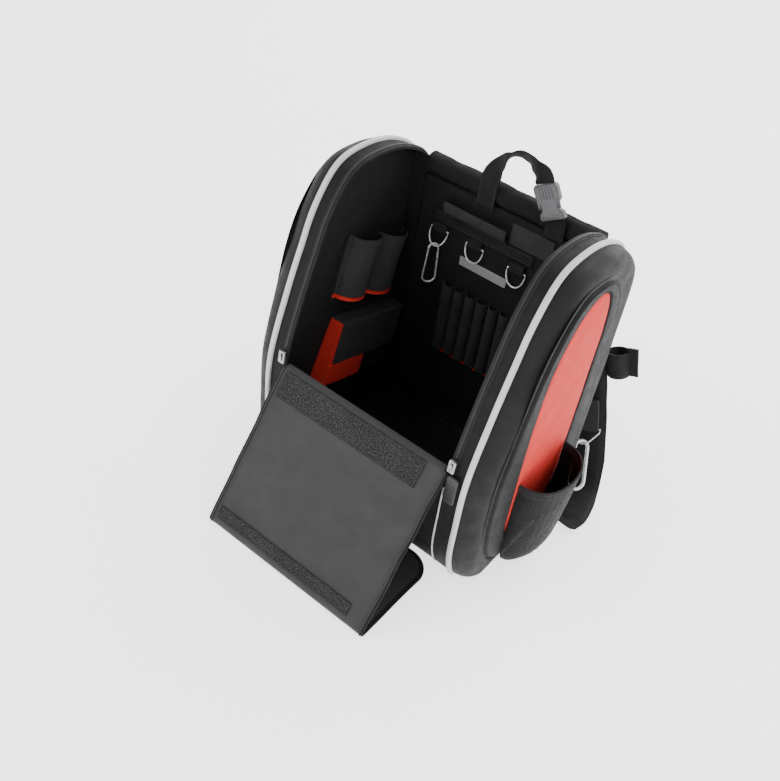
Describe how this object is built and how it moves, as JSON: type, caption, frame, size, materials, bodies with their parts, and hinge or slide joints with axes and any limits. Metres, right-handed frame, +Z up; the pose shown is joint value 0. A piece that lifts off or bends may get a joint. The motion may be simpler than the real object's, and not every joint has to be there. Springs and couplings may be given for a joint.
{
  "type": "tool backpack",
  "caption": "Open-topped tool backpack with rigid moulded sides, a fold-down front cover, wall pockets and sleeves, padded straps, a carry handle and a mesh side pocket.",
  "frame": {"origin": "middle of the base's underside, on the floor", "axes": "+Z up, -Y to the front where the cover folds down, +Y to the wearer's back, +X to the side with the mesh pocket"},
  "size_m": [0.5362, 0.5304, 0.5302],
  "materials": {
    "moulded_nylon": "ballistic nylon moulded over foam, satin",
    "black_cloth": "matt woven polyester",
    "cover_cloth": "coated woven nylon, slight sheen",
    "grey_cloth": "plain woven nylon",
    "red_cloth": "woven polyester, red",
    "webbing": "woven strap, matt",
    "hook_and_loop": "hook-and-loop strip",
    "zip_tape": "zip tape with coil teeth",
    "mesh": "open knitted mesh",
    "piping": "pale reflective piping",
    "label": "bare woven label",
    "strap_cloth": "padded strap cloth over spacer mesh",
    "buckle": "ribbed acetal, satin",
    "pull_rubber": "moulded rubber",
    "chrome": "polished",
    "zip_metal": "nickel plated"
  },
  "bodies": {
    "bag": {"back_panel": "black_cloth", "back_roll": "black_cloth", "base_panel": "black_cloth", "carabiner": "chrome", "cover_grip_bottom": "hook_and_loop", "cover_grip_top": "hook_and_loop", "cover_zip_left": "zip_tape", "cover_zip_right": "zip_tape", "d_ring_1": "chrome", "d_ring_2": "chrome", "d_ring_3": "chrome", "front_cover": "cover_cloth", "front_piping_left": "piping", "front_piping_right": "piping", "front_wall": "cover_cloth", "handle_buckle": "buckle", "handle_webbing": "webbing", "holder_board": "black_cloth", "holder_hem": "red_cloth", "holder_sleeves": "grey_cloth", "insert_left": "red_cloth", "insert_right": "red_cloth", "snap_hook": "chrome", "lining_left": "black_cloth", "lining_right": "black_cloth", "lower_webbing": "webbing", "mesh_pocket": "mesh", "organiser_label": "label", "organiser_patch": "grey_cloth", "organiser_pocket": "grey_cloth", "organiser_sleeves": "grey_cloth", "piping_left": "piping", "piping_right": "piping", "pocket_hem": "webbing", "pouch_body": "grey_cloth", "pouch_gusset": "red_cloth", "pouch_lid": "grey_cloth", "ring_tab_1": "webbing", "ring_tab_2": "webbing", "ring_tab_3": "webbing", "ring_webbing": "webbing", "shoulder_strap_left": "strap_cloth", "shoulder_strap_right": "strap_cloth", "side_band_left": "moulded_nylon", "side_band_right": "moulded_nylon", "side_shell_left": "moulded_nylon", "side_shell_right": "moulded_nylon", "sleeve_hem": "red_cloth", "strap_patch": "grey_cloth", "strap_webbing_left": "webbing", "strap_webbing_right": "webbing", "accessory_loop": "webbing", "tri_ring": "chrome", "zip_pull_right": "pull_rubber", "zip_slider_left": "zip_metal", "zip_slider_right": "zip_metal", "zip_tape_left": "zip_tape", "zip_tape_right": "zip_tape"},
    "snap_hook_gate": {"snap_hook_gate": "chrome"},
    "carabiner_gate": {"carabiner_gate": "chrome"}
  },
  "joints": [
    {"name": "snap_hook_gate_hinge", "type": "hinge", "parent": "bag", "child": "snap_hook_gate", "pos_m": [-0.10657, 0.09007, 0.27395], "axis": [-0.766, 0.6428, 0], "range_deg": [0, 12], "stiffness_Nm_per_rad": 0.05, "springref_deg": -17.19},
    {"name": "carabiner_gate_hinge", "type": "hinge", "parent": "bag", "child": "carabiner_gate", "pos_m": [0.20986, 0.11309, 0.0413], "axis": [-0.5451, 0.494, -0.6774], "range_deg": [0, 10], "stiffness_Nm_per_rad": 0.15, "springref_deg": -17.19}
  ]
}
